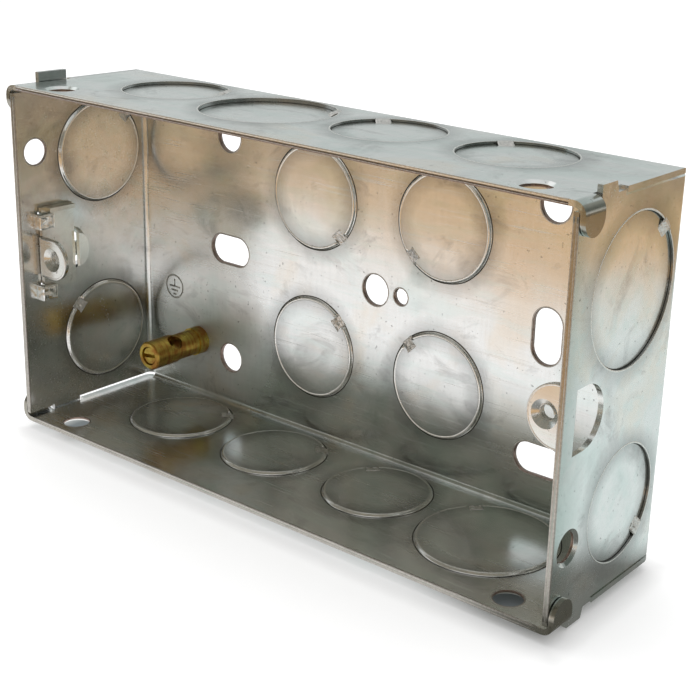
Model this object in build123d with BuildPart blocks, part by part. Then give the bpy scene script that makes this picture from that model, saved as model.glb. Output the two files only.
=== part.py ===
"""Two-gang flush back box: a folded sheet-steel box with an adjustable fixing lug and an earth terminal.

Millimetres. +X runs along the box to the right, the open front faces -Y, +Z is up.
The origin is the middle of the back plate's outer face, so depths into the box are negative Y.
"""
from build123d import *
from math import cos, pi, radians, sin, tan
import os

os.makedirs("parts", exist_ok=True)

# Overall size of the folded box, over its outer faces
box_length = 132.0
box_height = 72.0
box_depth = 35.0
sheet = 1.0
bend_inside = 1.2

# Open joints between the end walls and the long walls
right_gap = 0.4
left_gap = 0.9
tongue_gap = 0.7
corner_relief = 1.6

# Locking corners: tongues of the long walls lap the end walls, and tabs of the end walls stand in notches
tongue_width = 5.8
tongue_drop = 5.8
tongue_bend = 1.2
tongue_clearance = 0.15
notch_length = 8.4
notch_clearance = 0.4
tab_setback = 0.6
left_tab_length = 6.9
left_tab_stand = 1.9
right_tab_length = 4.3
right_tab_stand = 1.4
right_tab_shoulder_drop = 0.5
right_tab_slope = 0.6

# Knockouts: round blanks sheared part of the way through, each held by one uncut bridge
small_knockout_diameter = 21.0
large_knockout_diameter = 26.2
knockout_sink = 0.5
first_top_sink = 0.6
large_top_sink = 0.8
bridge_width = 2.4
bridge_length = 1.6
bridge_root = 0.4

# Knockout places
back_knockout_x = 16.2
back_knockout_z = 16.0
inner_knockout_x = 13.7
outer_knockout_x = 41.0
end_knockout_z = 20.0
large_end_knockout_z = 18.1
small_knockout_depth = 13.8
large_knockout_depth = 15.8

# Fixing holes and slots punched in the back plate; their pattern sits a little off the middle
pattern_x = 1.4
pattern_z = 0.5
fixing_x = 40.2
fixing_z = 24.6
fixing_hole_diameter = 6.4
slot_width = 6.3
slot_length = 11.0
pilot_hole_diameter = 3.4
pilot_hole_x = 6.4

# Small holes near the front edge of the walls
front_hole_diameter = 5.4
front_hole_setback = 4.6
front_hole_inset = 10.5
front_hole_z = 21.9
front_hole_rim_diameter = 6.6
front_hole_rim_depth = 0.5

# Fixing lugs; their inset from the ends leaves the standard 120.6 between the accessory screws
lug_inset = 5.7
lug_setback = 3.8
lug_hole_diameter = 2.9
lug_funnel_diameter = 5.0
lug_funnel_depth = 0.8
lug_collar_diameter = 4.7
lug_collar_length = 1.2
fixed_lug_width = 11.2
fixed_lug_length = 8.6
fixed_lug_bend = 0.5

# Adjustable lug: a formed strip that slides up and down on the left wall
strip_thickness = 0.9
strip_wall_clearance = 0.15
strip_front_setback = 4.6
strip_length = 8.2
strip_top = 10.3
strip_bottom = 7.2
strip_margin_length = 2.4
strip_margin_bottom = 8.8
ear_length = 1.3
ear_height = 3.0
curl_stand = 1.5
curl_setback = 1.1
curl_length = 6.4
adjustable_plate_width = 8.4
adjustable_plate_reach = 8.9
adjustable_plate_bend = 0.3

# Holders pressed out of the left wall: two hooks over the strip's front margin and a louvre over its ear
holder_clearance = 0.15
hook_height = 3.1
hook_reach = 2.6
hook_front_clearance = 0.2
upper_hook_bottom = 5.9
lower_hook_top = 6.3
window_length = 3.2
window_margin = 0.2
louvre_setback = 13.1
louvre_height = 9.2
louvre_length = 3.6
louvre_wall = 0.6
louvre_taper = 25.0

# Earth terminal: a riveted pillar with a cross hole and a slotted clamp screw
pillar_from_end = 17.4
pillar_from_bottom = 13.8
pillar_diameter = 6.2
pillar_length = 15.0
pillar_head_length = 6.6
pillar_waist_diameter = 5.7
pillar_foot_length = 2.4
pillar_edge = 0.3
spigot_diameter = 4.0
spigot_recess = 0.1
cross_hole_diameter = 3.6
cross_hole_from_front = 6.0
cross_hole_tilt = 50.0
screw_diameter = 4.0
screw_clearance = 0.05
screw_length = 3.7
screw_recess = 0.3
screw_slot_width = 0.8
screw_slot_depth = 1.0
screw_slot_tilt = 8.0
screw_edge = 0.25
screw_bore_end = 0.2

# Earth sign pressed into the back plate
sign_from_end = 9.7
sign_from_bottom = 24.6
sign_radius = 2.8
sign_line = 0.4
sign_depth = 0.2
sign_stem = 1.7
sign_bar_pitch = 0.9
sign_bars = (3.4, 2.2, 1.0)

# Places worked out from the sizes above
half_length = box_length / 2
half_height = box_height / 2
inner_x = half_length - sheet
inner_z = half_height - sheet
front_y = -box_depth
notch_front_y = front_y + tongue_width
notch_rear_y = notch_front_y + notch_length
notch_edge_x = inner_x - notch_clearance
tongue_face_x = half_length + tongue_clearance
tongue_root_x = tongue_face_x - tongue_bend
lug_x = half_length - lug_inset
lug_front_y = front_y + lug_setback
fixed_bend_y = lug_front_y - fixed_lug_bend
strip_face_x = -inner_x + strip_wall_clearance
strip_front_y = front_y + strip_front_setback
strip_room = strip_wall_clearance + strip_thickness + holder_clearance
louvre_y = front_y + louvre_setback
front_hole_x = half_length - front_hole_inset
pillar_x = -half_length + pillar_from_end
pillar_z = -half_height + pillar_from_bottom
pillar_front_y = -sheet - pillar_length
cross_hole_y = pillar_front_y + cross_hole_from_front

inward = {
    "back": (0, -1, 0),
    "top": (0, 0, -1),
    "bottom": (0, 0, 1),
    "left": (1, 0, 0),
    "right": (-1, 0, 0),
}


def quarter_bend(centre, inside_radius, thickness, right, up):
    """Draw the section of a right-angle bend; right and up are 1 or -1 and name its quarter."""
    outer_radius = inside_radius + thickness
    with Locations(centre):
        Circle(outer_radius)
        Circle(inside_radius, mode=Mode.SUBTRACT)
    with Locations((centre[0] + right * outer_radius / 2, centre[1] + up * outer_radius / 2)):
        Rectangle(outer_radius, outer_radius, mode=Mode.INTERSECT)


def round_ended(root, tip, width):
    """Draw a strip along the sketch's first axis from root to a half-round tip."""
    onwards = 1 if tip > root else -1
    centre = tip - onwards * width / 2
    with Locations((centre, 0)):
        Circle(width / 2)
    with Locations(((root + centre) / 2, 0)):
        Rectangle(abs(centre - root), width)
    with Locations((root - onwards * width / 2, 0)):
        Rectangle(width, width, mode=Mode.SUBTRACT)


def knockout(centre, wall, towards, diameter, sink):
    """Return what a knockout takes out of its wall and the blank that it leaves pushed in by sink.

    The blank hangs on one sloping bridge on the side named by towards.
    """
    radius = diameter / 2
    root = radius + bridge_root
    tip = radius - bridge_length
    face = Plane(origin=centre, x_dir=towards, z_dir=inward[wall])
    side = Plane(origin=centre, x_dir=towards, z_dir=Vector(towards).cross(Vector(inward[wall])))
    with BuildPart() as taken:
        with BuildSketch(face):
            Circle(radius)
        extrude(amount=sink)
        with BuildSketch(side):
            with Locations(((root + tip) / 2, (sheet + sink) / 2)):
                Rectangle(root - tip, sheet + sink)
        extrude(amount=bridge_width / 2, both=True)
    with BuildPart() as blank:
        with BuildSketch(face.offset(sheet)):
            Circle(radius)
        extrude(amount=sink)
        with BuildSketch(side):
            with Locations(((root + tip) / 2, (sheet + sink) / 2)):
                Rectangle(root - tip, sheet + sink)
        extrude(amount=bridge_width / 2, both=True, mode=Mode.SUBTRACT)
        with BuildSketch(side):
            Polygon(
                (root, 0),
                (root, sheet),
                (radius, sheet),
                (tip, sheet + sink),
                (tip, sink),
                (radius, 0),
                align=None,
            )
        extrude(amount=bridge_width / 2, both=True)
    return taken.part, blank.part


def front_hole(centre, wall):
    """Return the cutter of one small round hole near the front edge, with its dished outer rim."""
    face = Plane(origin=centre, z_dir=inward[wall])
    with BuildPart() as cutter:
        with BuildSketch(face):
            Circle(front_hole_diameter / 2)
        extrude(amount=sheet)
        with BuildSketch(face):
            Circle(front_hole_rim_diameter / 2)
        with BuildSketch(face.offset(front_hole_rim_depth)):
            Circle(front_hole_diameter / 2)
        loft()
    return cutter.part


def lug_screw_hole(x, thickness):
    """Pierce a lug's plate for its screw: a funnel in the front face and a short collar behind."""
    rear = Plane.XZ.offset(-lug_front_y - thickness)
    with BuildSketch(rear) as collar:
        with Locations((x, 0)):
            Circle(lug_collar_diameter / 2)
    extrude(collar.sketch, amount=-lug_collar_length)
    with BuildSketch(rear) as bore:
        with Locations((x, 0)):
            Circle(lug_hole_diameter / 2)
    extrude(bore.sketch, amount=thickness, mode=Mode.SUBTRACT)
    extrude(bore.sketch, amount=-lug_collar_length, mode=Mode.SUBTRACT)
    with BuildSketch(Plane.XZ.offset(-lug_front_y)) as funnel:
        with Locations((x, 0)):
            Circle(lug_funnel_diameter / 2)
    with BuildSketch(Plane.XZ.offset(-lug_front_y - lug_funnel_depth)) as throat:
        with Locations((x, 0)):
            Circle(lug_hole_diameter / 2)
    loft([funnel.sketch.face(), throat.sketch.face()], mode=Mode.SUBTRACT)


def tongue():
    """Locking tongue at the right-hand end of the top wall, bent down over the end wall's outer face."""
    bend_z = inner_z - tongue_bend
    tip_z = half_height - tongue_drop
    round_z = tip_z + tongue_width / 2
    middle_y = front_y + tongue_width / 2
    with BuildPart() as piece:
        with BuildSketch(Plane.XZ.offset(-notch_front_y)):
            quarter_bend((tongue_root_x, bend_z), tongue_bend, sheet, 1, 1)
        extrude(amount=tongue_width)
        with BuildSketch(Plane.YZ.offset(tongue_face_x)):
            with BuildLine():
                Line((front_y, bend_z), (front_y, round_z))
                ThreePointArc((front_y, round_z), (middle_y, tip_z), (notch_front_y, round_z))
                Line((notch_front_y, round_z), (notch_front_y, bend_z))
                Line((notch_front_y, bend_z), (front_y, bend_z))
            make_face()
        extrude(amount=sheet)
    return piece.part


def right_tab():
    """Upper tab of the right end wall: a short tooth with a low shoulder behind it."""
    root_z = inner_z - right_gap
    tooth_y = notch_front_y + tab_setback
    shoulder_y = tooth_y + right_tab_length
    shoulder_z = half_height - right_tab_shoulder_drop
    rear_y = notch_rear_y - tab_setback
    with BuildPart() as piece:
        with BuildSketch(Plane.YZ.offset(inner_x)):
            with BuildLine():
                Polyline(
                    (tooth_y, root_z),
                    (tooth_y, half_height + right_tab_stand),
                    (shoulder_y, half_height + right_tab_stand),
                    (shoulder_y + right_tab_slope, shoulder_z),
                    (rear_y, shoulder_z),
                    (rear_y, root_z),
                    close=True,
                )
            make_face()
        extrude(amount=sheet)
    return piece.part


def left_tab():
    """Upper tab of the left end wall: a plain long tooth."""
    root_z = inner_z - left_gap
    top_z = half_height + left_tab_stand
    with BuildPart() as piece:
        with BuildSketch(Plane.YZ.offset(-half_length)):
            with Locations((notch_front_y + tab_setback + left_tab_length / 2, (root_z + top_z) / 2)):
                Rectangle(left_tab_length, top_z - root_z)
        extrude(amount=sheet)
    return piece.part


def end_joints(side, gap):
    """Part one end wall (side 1 is the right one) from the long walls and cut the corners' notches."""
    relief_x = inner_x - corner_relief
    with BuildSketch(Plane.XZ) as slits:
        for up in (1, -1):
            with Locations((side * (half_length + relief_x) / 2, up * (inner_z - gap / 2))):
                Rectangle(half_length - relief_x, gap)
    extrude(slits.sketch, amount=-notch_front_y, mode=Mode.SUBTRACT)
    with BuildSketch(Plane.XZ.offset(-notch_front_y)) as square_ends:
        for up in (1, -1):
            # the end wall stays lower where the tongue's bend passes over it
            with Locations((side * (half_length + inner_x) / 2, up * (inner_z - tongue_gap / 2))):
                Rectangle(sheet, tongue_gap)
            with Locations((side * (half_length + tongue_root_x) / 2, up * (half_height - sheet / 2))):
                Rectangle(half_length - tongue_root_x, sheet)
    extrude(square_ends.sketch, amount=tongue_width, mode=Mode.SUBTRACT)
    with BuildSketch(Plane.XZ.offset(-notch_rear_y)) as notches:
        for up in (1, -1):
            with Locations((side * (half_length + notch_edge_x) / 2, up * (half_height - sheet / 2))):
                Rectangle(half_length - notch_edge_x, sheet)
    extrude(notches.sketch, amount=notch_length, mode=Mode.SUBTRACT)


def hook(bottom):
    """Lance one hook out of the left wall over the strip's front margin, leaving a window behind it."""
    root_y = strip_front_y - hook_front_clearance
    middle_z = bottom + hook_height / 2
    with BuildSketch(Plane.YZ.offset(-half_length)) as window:
        with Locations((root_y + window_length / 2, middle_z)):
            Rectangle(window_length, hook_height + 2 * window_margin)
    extrude(window.sketch, amount=sheet, mode=Mode.SUBTRACT)
    with BuildSketch(Plane.YZ.offset(-inner_x)) as upright:
        with Locations((root_y - sheet / 2, middle_z)):
            Rectangle(sheet, hook_height)
    extrude(upright.sketch, amount=strip_room)
    with BuildSketch(Plane.YZ.offset(-inner_x + strip_room)) as arm:
        with Locations((root_y + (hook_reach - sheet) / 2, middle_z)):
            Rectangle(hook_reach + sheet, hook_height)
    extrude(arm.sketch, amount=sheet)


def half_ellipse(x, inset):
    """Return the louvre's section at x: half an ellipse behind the open edge, smaller all round by inset."""
    with BuildSketch(Plane.YZ.offset(x)) as section:
        with Locations((louvre_y, 0)):
            Ellipse(louvre_length - inset, louvre_height / 2 - inset)
        with Locations((louvre_y - louvre_length / 2, 0)):
            Rectangle(louvre_length, louvre_height, mode=Mode.SUBTRACT)
    return section.sketch.face()


def half_dome(rise, inset, mode):
    """Loft a tapering half ellipse from the left wall's inner face into the box."""
    shrink = rise * tan(radians(louvre_taper))
    loft([half_ellipse(-inner_x, inset), half_ellipse(-inner_x + rise, inset + shrink)], mode=mode)


# Corners, knockouts and small holes of the folded box
upper_corners = [tongue(), right_tab(), tongue().mirror(Plane.YZ), left_tab()]
lower_corners = [corner.mirror(Plane.XY) for corner in upper_corners]

small = (small_knockout_diameter, small_knockout_depth)
large = (large_knockout_diameter, large_knockout_depth)
top_row = [
    (-outer_knockout_x, small, first_top_sink),
    (-inner_knockout_x, large, large_top_sink),
    (inner_knockout_x, small, knockout_sink),
    (outer_knockout_x, small, knockout_sink),
]
bottom_row = [
    (-outer_knockout_x, small, knockout_sink),
    (-inner_knockout_x, small, knockout_sink),
    (inner_knockout_x, small, knockout_sink),
    (outer_knockout_x, large, knockout_sink),
]
ends = [
    ("left", -half_length, end_knockout_z, small, (0, 1, 1)),
    ("left", -half_length, -end_knockout_z, small, (0, -1, 1)),
    ("right", half_length, large_end_knockout_z, large, (0, 1, 1)),
    ("right", half_length, -end_knockout_z, small, (0, 1, -1)),
]
knockouts = []
for across in (1, -1):
    for up in (1, -1):
        place = (pattern_x + across * back_knockout_x, 0, pattern_z + up * back_knockout_z)
        knockouts.append(knockout(place, "back", (-across, 0, -up), small_knockout_diameter, knockout_sink))
for wall, wall_z, row in (("top", half_height, top_row), ("bottom", -half_height, bottom_row)):
    for x, (diameter, depth), sink in row:
        inwards = 1 if x < 0 else -1
        knockouts.append(knockout((x, -depth, wall_z), wall, (inwards, 1, 0), diameter, sink))
for wall, wall_x, z, (diameter, depth), towards in ends:
    knockouts.append(knockout((wall_x, -depth, z), wall, towards, diameter, knockout_sink))

hole_y = front_y + front_hole_setback
front_holes = [
    front_hole((-front_hole_x, hole_y, half_height), "top"),
    front_hole((front_hole_x, hole_y, half_height), "top"),
    front_hole((-front_hole_x, hole_y, -half_height), "bottom"),
    front_hole((front_hole_x, hole_y, -half_height), "bottom"),
    front_hole((-half_length, hole_y, front_hole_z), "left"),
    front_hole((half_length, hole_y, -front_hole_z), "right"),
]

# Folded box: one sheet with its corners, fixed lug, hooks and louvre
with BuildPart() as box_body:
    with BuildSketch(Plane.XZ):
        Rectangle(box_length, box_height)
    extrude(amount=box_depth)
    fillet(faces().sort_by(Axis.Y)[-1].edges(), radius=bend_inside + sheet)
    offset(amount=-sheet, openings=faces().sort_by(Axis.Y)[0])

    end_joints(1, right_gap)
    end_joints(-1, left_gap)
    add(upper_corners + lower_corners)
    add([taken for taken, blank in knockouts] + front_holes, mode=Mode.SUBTRACT)
    add([blank for taken, blank in knockouts])

    # Fixing holes, slots, pilot hole and the terminal's rivet hole in the back plate
    left_x = pattern_x - fixing_x
    right_x = pattern_x + fixing_x
    upper_z = pattern_z + fixing_z
    lower_z = pattern_z - fixing_z
    with BuildSketch(Plane.XZ):
        with Locations((left_x, upper_z), (left_x, lower_z), (right_x, upper_z), (pattern_x, pattern_z)):
            Circle(fixing_hole_diameter / 2)
        with Locations((left_x, pattern_z), (right_x, lower_z)):
            SlotOverall(slot_length, slot_width)
        with Locations((right_x, pattern_z)):
            SlotOverall(slot_length, slot_width, rotation=90)
        with Locations((pattern_x + pilot_hole_x, pattern_z)):
            Circle(pilot_hole_diameter / 2)
        with Locations((pillar_x, pillar_z)):
            Circle(spigot_diameter / 2)
    extrude(amount=sheet, mode=Mode.SUBTRACT)

    # Fixed lug folded in from the right wall, and the D-shaped opening that it leaves
    with BuildSketch(Plane.YZ.offset(inner_x)):
        round_ended(fixed_bend_y, lug_front_y + fixed_lug_length, fixed_lug_width)
    extrude(amount=sheet, mode=Mode.SUBTRACT)
    bent_x = inner_x - fixed_lug_bend
    blank_length = fixed_lug_length + fixed_lug_bend
    bend_length = pi / 2 * (fixed_lug_bend + sheet / 2)
    with BuildSketch(Plane.XY.offset(-fixed_lug_width / 2)):
        quarter_bend((bent_x, fixed_bend_y), fixed_lug_bend, sheet, 1, 1)
    extrude(amount=fixed_lug_width)
    with BuildSketch(Plane.XZ.offset(-lug_front_y - sheet)):
        round_ended(bent_x, bent_x - blank_length + bend_length, fixed_lug_width)
    extrude(amount=sheet)
    lug_screw_hole(lug_x, sheet)

    # Holders of the adjustable lug
    hook(upper_hook_bottom)
    hook(-lower_hook_top - hook_height)
    half_dome(strip_room + sheet, 0, Mode.ADD)
    half_dome(strip_room, louvre_wall, Mode.SUBTRACT)
    extrude(half_ellipse(-half_length, louvre_wall), amount=sheet, mode=Mode.SUBTRACT)

    # Earth sign: a ring around a stem and three bars that get shorter downwards
    with BuildSketch(Plane.XZ.offset(sheet)):
        with Locations((-half_length + sign_from_end, -half_height + sign_from_bottom)):
            Circle(sign_radius)
            Circle(sign_radius - sign_line, mode=Mode.SUBTRACT)
            with Locations((0, sign_stem / 2)):
                Rectangle(sign_line, sign_stem)
            for row, width in enumerate(sign_bars):
                with Locations((0, -row * sign_bar_pitch)):
                    Rectangle(width, sign_line)
    extrude(amount=-sign_depth, mode=Mode.SUBTRACT)

# Adjustable lug: web, margin and ear flat on the wall, a curl at the top and the screw plate at the front
strip_rear_y = strip_front_y + strip_length
plate_bend_x = strip_face_x + strip_thickness + adjustable_plate_bend
plate_bend_y = lug_front_y + strip_thickness + adjustable_plate_bend
curl_y = strip_front_y + curl_setback + curl_length / 2
with BuildPart() as adjustable_lug:
    with BuildSketch(Plane.YZ.offset(strip_face_x)):
        with Locations(((strip_front_y + strip_rear_y) / 2, (strip_top - strip_bottom) / 2)):
            Rectangle(strip_length, strip_top + strip_bottom)
        with Locations((strip_front_y + strip_margin_length / 2, -strip_margin_bottom / 2)):
            Rectangle(strip_margin_length, strip_margin_bottom)
        with Locations((strip_rear_y + ear_length / 2, 0)):
            Rectangle(ear_length, ear_height)
        # the web's edge gives way to the plate's bend
        with Locations(((strip_front_y + plate_bend_y) / 2, 0)):
            Rectangle(plate_bend_y - strip_front_y, adjustable_plate_width, mode=Mode.SUBTRACT)
    extrude(amount=strip_thickness)
    with BuildSketch(Plane.XY.offset(-adjustable_plate_width / 2)):
        quarter_bend((plate_bend_x, plate_bend_y), adjustable_plate_bend, strip_thickness, -1, -1)
    extrude(amount=adjustable_plate_width)
    with BuildSketch(Plane.XZ.offset(-lug_front_y - strip_thickness)):
        round_ended(plate_bend_x, strip_face_x + adjustable_plate_reach, adjustable_plate_width)
    extrude(amount=strip_thickness)
    with BuildSketch(Plane.XY.offset(strip_top - strip_thickness)):
        with Locations((strip_face_x + (strip_thickness + curl_stand) / 2, curl_y)):
            Rectangle(strip_thickness + curl_stand, curl_length)
    extrude(amount=strip_thickness)
    lug_screw_hole(-lug_x, strip_thickness)

# Earth terminal pillar: spigot, foot, waist and head, bored for the clamp screw and for the wire
foot_y = -sheet - pillar_foot_length
head_y = pillar_front_y + pillar_head_length
screw_bore = screw_diameter / 2 + screw_clearance
with BuildPart() as earth_terminal_pillar:
    with BuildSketch(Plane.XZ.offset(spigot_recess)):
        with Locations((pillar_x, pillar_z)):
            Circle(spigot_diameter / 2)
    extrude(amount=sheet - spigot_recess)
    with BuildSketch(Plane.XZ.offset(sheet)):
        with Locations((pillar_x, pillar_z)):
            Circle(pillar_diameter / 2)
    extrude(amount=pillar_length)
    chamfer(edges().filter_by(GeomType.CIRCLE).sort_by(Axis.Y)[0], length=pillar_edge)
    with BuildSketch(Plane.XZ.offset(-foot_y)):
        with Locations((pillar_x, pillar_z)):
            Circle(pillar_diameter / 2 + sheet)
            Circle(pillar_waist_diameter / 2, mode=Mode.SUBTRACT)
    extrude(amount=foot_y - head_y, mode=Mode.SUBTRACT)
    with BuildSketch(Plane.XZ.offset(-pillar_front_y)):
        with Locations((pillar_x, pillar_z)):
            Circle(screw_bore)
    bore_depth = cross_hole_from_front + cross_hole_diameter / 2 + screw_bore_end
    extrude(amount=-bore_depth, mode=Mode.SUBTRACT)
    wire_way = (cos(radians(cross_hole_tilt)), 0, sin(radians(cross_hole_tilt)))
    with BuildSketch(Plane(origin=(pillar_x, cross_hole_y, pillar_z), z_dir=wire_way)):
        Circle(cross_hole_diameter / 2)
    extrude(amount=pillar_diameter, both=True, mode=Mode.SUBTRACT)

# Clamp screw of the earth terminal
screw_front_y = pillar_front_y + screw_recess
with BuildPart() as earth_terminal_screw:
    with BuildSketch(Plane.XZ.offset(-screw_front_y)):
        with Locations((pillar_x, pillar_z)):
            Circle(screw_diameter / 2)
    extrude(amount=-screw_length)
    chamfer(edges().filter_by(GeomType.CIRCLE), length=screw_edge)
    with BuildSketch(Plane.XZ.offset(-screw_front_y)):
        with Locations((pillar_x, pillar_z)):
            Rectangle(screw_diameter, screw_slot_width, rotation=screw_slot_tilt)
    extrude(amount=-screw_slot_depth, mode=Mode.SUBTRACT)

box_body.part.label = "box_body"
adjustable_lug.part.label = "adjustable_lug"
earth_terminal_pillar.part.label = "earth_terminal_pillar"
earth_terminal_screw.part.label = "earth_terminal_screw"

export_step(box_body.part, "parts/box_body.step")
export_step(adjustable_lug.part, "parts/adjustable_lug.step")
export_step(earth_terminal_pillar.part, "parts/earth_terminal_pillar.step")
export_step(earth_terminal_screw.part, "parts/earth_terminal_screw.step")
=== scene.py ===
"""Looks of the two-gang flush back box: galvanised sheet, plated lug, brass terminal and their studio."""
import math
import random

import bpy
from bpy.props import FloatProperty, FloatVectorProperty, PointerProperty
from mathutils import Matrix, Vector
from mathutils import noise as lattice


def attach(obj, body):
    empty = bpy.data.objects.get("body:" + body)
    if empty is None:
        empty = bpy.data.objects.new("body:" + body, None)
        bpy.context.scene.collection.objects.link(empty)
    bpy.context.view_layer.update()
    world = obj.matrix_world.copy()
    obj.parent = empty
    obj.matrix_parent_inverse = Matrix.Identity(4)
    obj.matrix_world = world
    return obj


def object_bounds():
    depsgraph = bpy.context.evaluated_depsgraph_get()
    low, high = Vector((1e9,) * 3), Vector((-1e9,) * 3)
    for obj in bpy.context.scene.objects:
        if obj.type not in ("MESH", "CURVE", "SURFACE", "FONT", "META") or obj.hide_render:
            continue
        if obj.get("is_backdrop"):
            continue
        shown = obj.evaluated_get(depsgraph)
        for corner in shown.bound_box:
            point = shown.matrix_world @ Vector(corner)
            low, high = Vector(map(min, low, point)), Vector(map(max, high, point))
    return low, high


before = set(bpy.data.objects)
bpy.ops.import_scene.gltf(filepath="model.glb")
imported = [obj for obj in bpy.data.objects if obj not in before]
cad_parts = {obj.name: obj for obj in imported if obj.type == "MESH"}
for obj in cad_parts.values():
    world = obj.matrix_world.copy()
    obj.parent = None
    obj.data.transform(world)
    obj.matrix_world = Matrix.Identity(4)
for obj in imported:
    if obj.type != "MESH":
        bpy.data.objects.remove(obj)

bl_info = {
    "name": "Metal back box",
    "version": (1, 0, 0),
    "blender": (4, 5, 0),
    "location": "3D View > Sidebar > Back box",
    "description": "Dresses a folded steel back box with its metals, formed edges, threads and studio",
    "category": "Object",
}

BODY_BOX = "box"
BODY_LUG = "lug"
SLOT_BOX = "galvanised_steel"
SLOT_LUG = "plated_steel"
MM = 0.001

# Sizes in millimetres, as they were drawn; the box first
HALF_LENGTH = 66.0
HALF_HEIGHT = 36.0
DEPTH = 35.0
SHEET = 1.0

# Lugs: screw axis, front face and bore, then the round end's centre, the root and the radius of each plate
LUG_X = 60.3
LUG_FRONT_Y = -31.2
LUG_BORE = 1.45
FIXED_LUG = (62.57, 64.4, 5.6)
ADJUSTABLE_LUG = (-60.15, -63.5, 4.2)

# Threads of the lugs: pitch, start behind the front face and the two lengths
THREAD_PITCH = 0.5
THREAD_START = 0.75
FIXED_THREAD = 1.4
ADJUSTABLE_THREAD = 1.3

# Uncut bridges of the knockouts
BRIDGE_HALF_WIDTH = 1.2
BRIDGE_LENGTH = 1.6
BRIDGE_ROOT = 0.4

# Stamped earth sign: centre on the back plate, depth, ring, stem and bars
SIGN_CENTRE = (-56.3, -11.4)
SIGN_DEPTH = 0.2
SIGN_RING_RADIUS = 2.6
SIGN_STEM_MIDDLE = 0.85
SIGN_STEM_REACH = 0.83
SIGN_BAR_PITCH = 0.9
SIGN_BARS = (3.4, 2.2, 1.0)

# Directions, and the inward one of each wall
X_AXIS = Vector((1, 0, 0))
Y_AXIS = Vector((0, 1, 0))
Z_AXIS = Vector((0, 0, 1))
FRONT = -Y_AXIS
INWARD = {
    "back": Vector((0, -1, 0)),
    "top": Vector((0, 0, -1)),
    "bottom": Vector((0, 0, 1)),
    "left": Vector((1, 0, 0)),
    "right": Vector((-1, 0, 0)),
}

# Knockouts: wall, centre on the outer face, direction of the uncut bridge, radius and sink
SMALL = 10.5
LARGE = 13.1
KNOCKOUTS = [
    ("back", (17.6, 0, 16.5), (-1, 0, -1), SMALL, 0.5),
    ("back", (17.6, 0, -15.5), (-1, 0, 1), SMALL, 0.5),
    ("back", (-14.8, 0, 16.5), (1, 0, -1), SMALL, 0.5),
    ("back", (-14.8, 0, -15.5), (1, 0, 1), SMALL, 0.5),
    ("top", (-41, -13.8, 36), (1, 1, 0), SMALL, 0.6),
    ("top", (-13.7, -15.8, 36), (1, 1, 0), LARGE, 0.8),
    ("top", (13.7, -13.8, 36), (-1, 1, 0), SMALL, 0.5),
    ("top", (41, -13.8, 36), (-1, 1, 0), SMALL, 0.5),
    ("bottom", (-41, -13.8, -36), (1, 1, 0), SMALL, 0.5),
    ("bottom", (-13.7, -13.8, -36), (1, 1, 0), SMALL, 0.5),
    ("bottom", (13.7, -13.8, -36), (-1, 1, 0), SMALL, 0.5),
    ("bottom", (41, -15.8, -36), (-1, 1, 0), LARGE, 0.5),
    ("left", (-66, -13.8, 20), (0, 1, 1), SMALL, 0.5),
    ("left", (-66, -13.8, -20), (0, -1, 1), SMALL, 0.5),
    ("right", (66, -15.8, 18.1), (0, 1, 1), LARGE, 0.5),
    ("right", (66, -13.8, -20), (0, 1, -1), SMALL, 0.5),
]

# The two hooks over the adjustable lug: outer face, free end, size and the lowest point of each
HOOK_FACE_X = -62.8
HOOK_FREE_Y = -28.0
HOOK_LENGTH = 3.6
HOOK_STAND = 2.1
HOOK_HEIGHT = 3.1
HOOK_BOTTOMS = (5.9, -9.4)

# The back plate's scuffed patch beside the earth terminal
SCUFFED_PLACE = (-42.5, -1.0, -21.0)

# Holes and slots of the back plate: centre, half the straight run across and up, and end radius
BACK_HOLES = [
    ((-38.8, 25.1), 0, 0, 3.2),
    ((-38.8, -24.1), 0, 0, 3.2),
    ((41.6, 25.1), 0, 0, 3.2),
    ((1.4, 0.5), 0, 0, 3.2),
    ((7.8, 0.5), 0, 0, 1.7),
    ((-38.8, 0.5), 2.35, 0, 3.15),
    ((41.6, -24.1), 2.35, 0, 3.15),
    ((41.6, 0.5), 0, 2.35, 3.15),
]

# Small holes near the front edge: wall and centre on the outer face
FRONT_HOLES = [
    ("top", (-55.5, -30.4, 36)),
    ("top", (55.5, -30.4, 36)),
    ("bottom", (-55.5, -30.4, -36)),
    ("bottom", (55.5, -30.4, -36)),
    ("left", (-66, -30.4, 21.9)),
    ("right", (66, -30.4, -21.9)),
]
FRONT_HOLE_RADIUS = 2.7

# Profiles of formed edges, as (out, up) pairs: out from the hole or wall, up from the sheet's face
# The next profile is a dark line of painted shade beside the foot of a knockout's step.
SHEAR_SHADE_LINE = [(0.34, -0.05), (0.36, 0.05), (0.46, 0.035), (0.56, 0.008), (0.60, -0.05)]
SHEARED_LIP = [(-0.02, -0.16), (-0.02, -0.03), (0.04, 0.02), (0.14, 0.03), (0.26, 0.01), (0.32, -0.06)]
HOLE_LIP = [(0.02, -0.12), (0.0, -0.01), (0.06, 0.02), (0.16, 0.03), (0.27, 0.01), (0.31, -0.06)]
HOLE_SLEEVE = [(0.05, -0.93), (-0.03, -0.90), (-0.035, -0.02), (0.0, 0.012), (0.05, 0.008)]
SHORT_SLEEVE = [(0.05, -0.48), (-0.03, -0.45), (-0.035, -0.02), (0.0, 0.012), (0.05, 0.008)]
BURR = [
    (-0.42, -0.03), (-0.34, 0.012), (-0.20, 0.035), (-0.08, 0.03),
    (0.0, -0.02), (0.015, -0.12), (0.015, -0.30), (-0.02, -0.38),
]
FRACTURE_BAND = [(-0.03, -0.56), (0.01, -0.54), (0.018, -0.02), (-0.03, 0.0)]
LUG_RIM = [
    (-0.42, -0.04), (-0.30, 0.03), (-0.14, 0.045), (0.0, 0.01), (0.045, -0.12), (0.02, -0.34), (-0.2, -0.3),
]
THREAD_RIDGE = [(-0.06, -0.20), (0.15, -0.03), (0.15, 0.03), (-0.06, 0.20)]
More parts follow.
